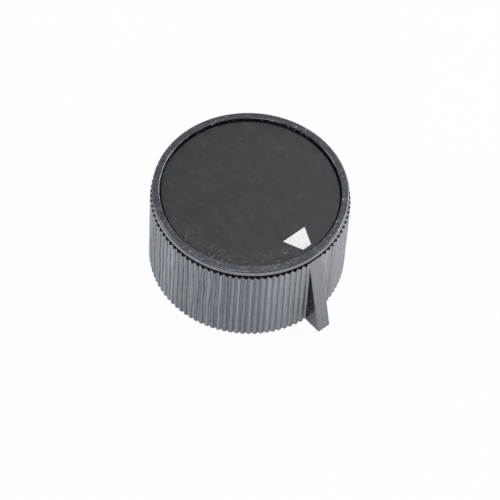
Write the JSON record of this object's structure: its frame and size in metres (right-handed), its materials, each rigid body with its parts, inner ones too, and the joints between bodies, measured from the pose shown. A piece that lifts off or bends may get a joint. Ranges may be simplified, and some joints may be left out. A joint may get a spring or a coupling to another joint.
{
  "type": "thermostat knob",
  "caption": "Round push-on control knob with a fluted grip skirt, a smooth rim, a recessed face disc with a white mark, a tapering pointer fin and a D-shaped shaft bore.",
  "frame": {"origin": "centre of the shaft bore's mouth, in the plane of the skirt's foot, where the knob meets its panel", "axes": "+Z along the shaft, from the panel to the face disc; the pointer fin and the white mark point to -Y; +X to the right of the pointer seen from the front"},
  "size_m": [0.045, 0.0494, 0.024],
  "materials": {
    "skirt_plastic": "satin black moulded plastic with rubbed crests between the flutes",
    "cap_plastic": "satin black moulded plastic, lightly scratched rim",
    "disc_plastic": "fine-grained matte black, a little dusty",
    "mark_white": "plain matte white",
    "spring_steel": "bright rolled spring steel"
  },
  "bodies": {
    "root": {"skirt": "skirt_plastic", "cap": "cap_plastic", "face_disc": "disc_plastic", "white_mark": "mark_white", "hub_spring": "spring_steel"}
  },
  "joints": []
}
